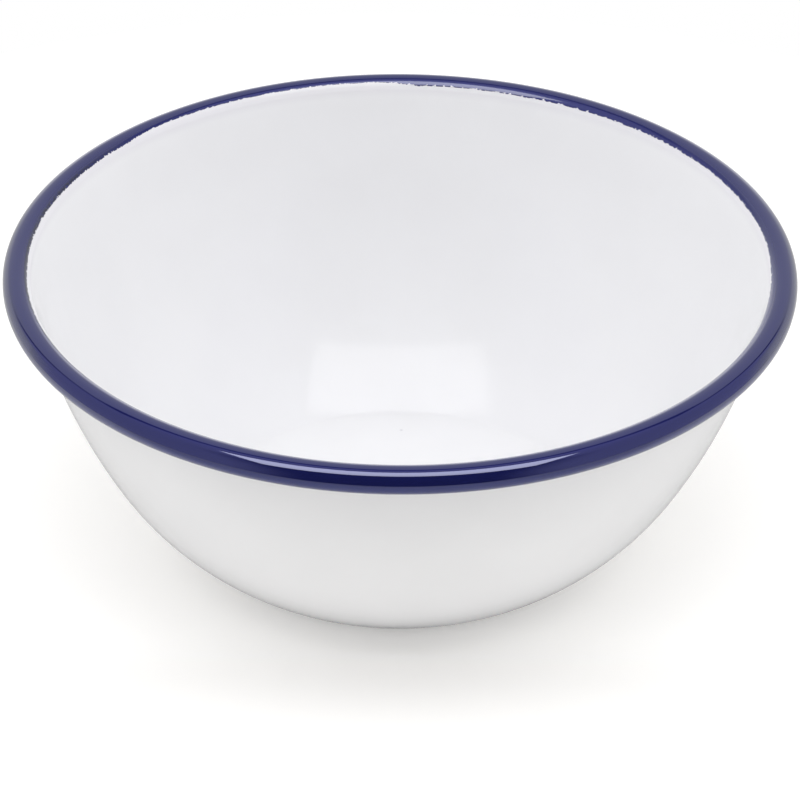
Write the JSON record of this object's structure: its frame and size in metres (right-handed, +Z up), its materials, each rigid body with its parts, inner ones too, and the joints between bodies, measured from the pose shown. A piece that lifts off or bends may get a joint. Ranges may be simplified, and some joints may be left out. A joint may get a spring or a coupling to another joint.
{
  "type": "enamel basin bowl",
  "caption": "Round basin bowl pressed from sheet steel, with a hollow rolled bead, white enamel inside and out, and a blue enamelled rim. It stands on a flat base and holds food or water.",
  "frame": {"origin": "middle of the flat standing face", "axes": "+Z up along the bowl's axis; the bowl is round, so +X and +Y are free"},
  "size_m": [0.18, 0.18, 0.0704],
  "materials": {
    "sheet_steel": "pickled low-carbon steel sheet, hidden under the enamel",
    "ground_enamel": "dark blue-black bonding enamel, fired",
    "white_enamel": "glossy opaque white cover enamel",
    "blue_enamel": "glossy navy blue rim enamel"
  },
  "bodies": {
    "root": {"steel_bowl": "sheet_steel", "ground_coat": "ground_enamel", "white_lining": "white_enamel", "white_jacket": "white_enamel", "rim_band": "blue_enamel"}
  },
  "joints": []
}
